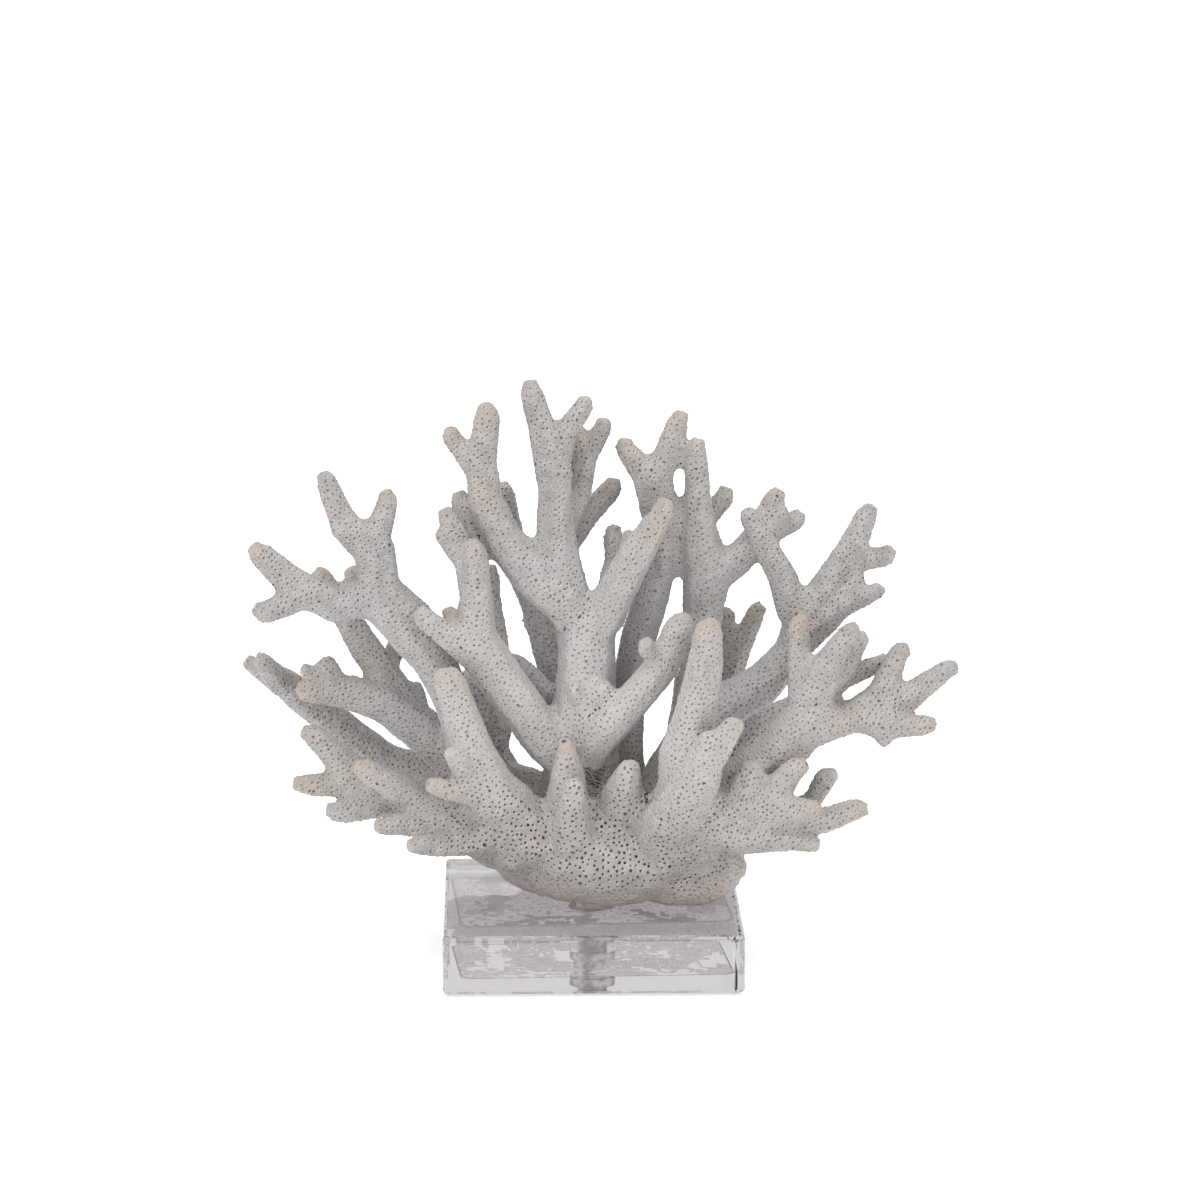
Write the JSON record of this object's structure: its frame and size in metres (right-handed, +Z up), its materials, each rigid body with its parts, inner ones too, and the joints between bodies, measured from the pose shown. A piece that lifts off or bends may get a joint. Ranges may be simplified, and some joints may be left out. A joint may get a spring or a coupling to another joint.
{
  "type": "branching coral on a clear block",
  "caption": "Bleached branching coral with blunt forked limbs growing from a low crown, screwed to a square clear acrylic display block",
  "frame": {"origin": "centre of the block's footprint, on the underside of the non-slip pad", "axes": "+X along the coral's widest spread, +Y towards the back, +Z up"},
  "size_m": [0.3031, 0.1588, 0.2508],
  "materials": {
    "coral": "matt, porous calcium carbonate with round pores",
    "acrylic": "clear polished cast acrylic",
    "steel": "satin",
    "spacer": "frosted",
    "rubber": "matt grey-lilac sheet"
  },
  "bodies": {
    "root": {"coral_crown": "coral", "coral_trunk": "coral", "top_middle_limb": "coral", "top_left_limb": "coral", "top_right_limb": "coral", "right_back_limb": "coral", "right_tall_limb": "coral", "right_outer_limb": "coral", "right_front_limb": "coral", "right_hidden_limb": "coral", "right_slender_limb": "coral", "front_tall_limb": "coral", "front_low_right_limb": "coral", "front_stub_limb": "coral", "centre_left_limb": "coral", "left_high_limb": "coral", "left_middle_limb": "coral", "left_low_limb": "coral", "left_far_limb": "coral", "left_front_limb": "coral", "middle_front_limb": "coral", "back_left_upright": "coral", "back_left_stub": "coral", "back_right_stub": "coral", "back_trunk_spur": "coral", "back_middle_limb": "coral", "back_left_limb": "coral", "back_right_limb": "coral", "back_low_limb": "coral", "back_low_left_limb": "coral", "back_low_right_limb": "coral", "acrylic_block": "acrylic", "mounting_screw": "steel", "spacer_washer": "spacer", "non_slip_pad": "rubber"}
  },
  "joints": []
}
